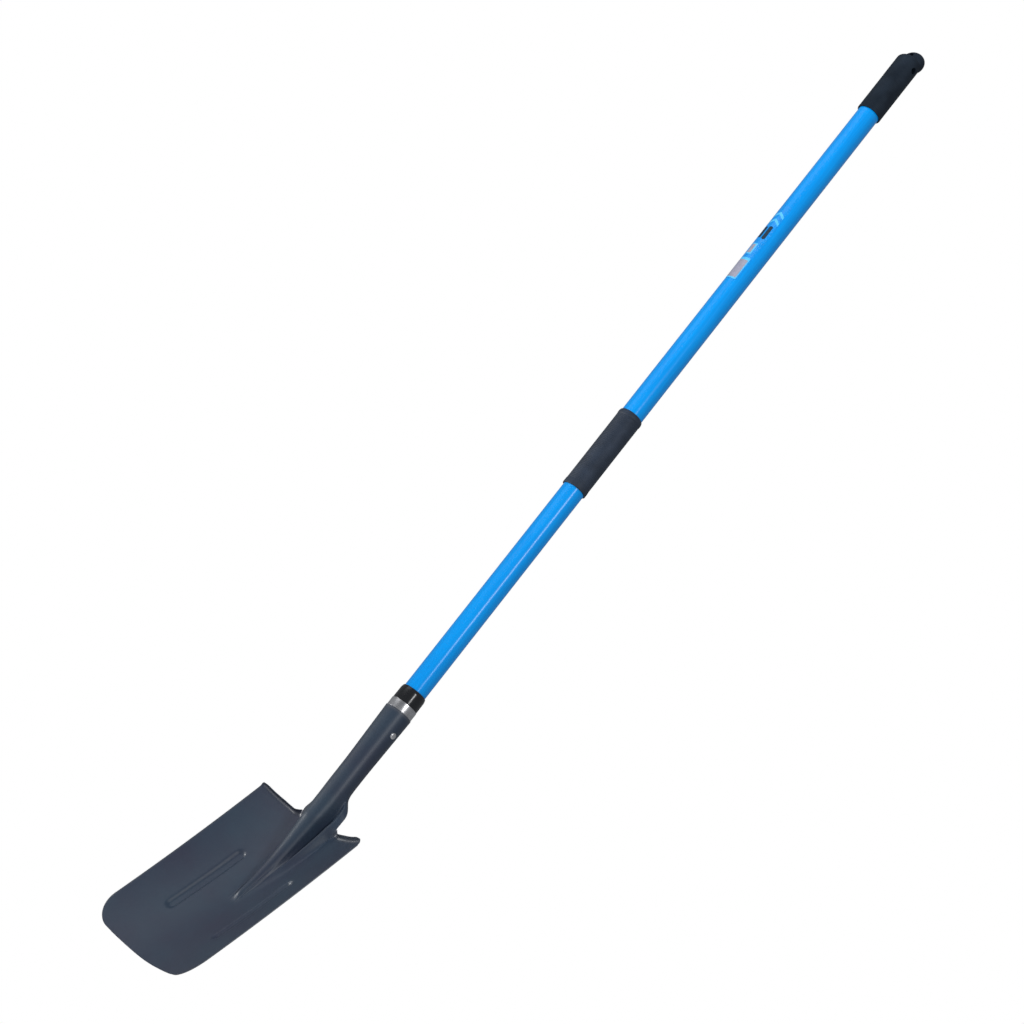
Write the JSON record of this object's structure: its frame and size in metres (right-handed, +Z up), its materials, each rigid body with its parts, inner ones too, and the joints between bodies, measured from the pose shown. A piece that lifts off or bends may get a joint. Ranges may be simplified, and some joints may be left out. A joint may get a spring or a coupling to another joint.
{
  "type": "garden spade",
  "caption": "Long-handled garden spade with a dished steel blade, a riveted socket, a straight fibreglass shaft and two rubber grips.",
  "frame": {"origin": "centre of the hanging hole in the end grip, on the handle's axis", "axes": "+Z up along the handle towards the pommel, +X along the hanging hole to the right of someone facing the blade's concave face, -Y the side that the concave face looks to"},
  "size_m": [0.1944, 0.1125, 1.5444],
  "materials": {
    "coated_steel": "satin dark blue-grey powder coat",
    "rivet_steel": "worn bright steel",
    "bare_steel": "bright rolled band",
    "black_plastic": "glossy black moulding",
    "core_fibreglass": "raw pultruded fibreglass",
    "blue_jacket": "glossy bright blue",
    "plug_wood": "plain turned hardwood",
    "grip_rubber": "matt dark grey rubber with fine ring ribs",
    "label_film": null
  },
  "bodies": {
    "root": {"blade": "coated_steel", "socket_rivet": "rivet_steel", "steel_band": "bare_steel", "collar": "black_plastic", "handle_core": "core_fibreglass", "handle_jacket": "blue_jacket", "core_plug": "plug_wood", "mid_grip": "grip_rubber", "end_grip": "grip_rubber", "label": "label_film"}
  },
  "joints": []
}
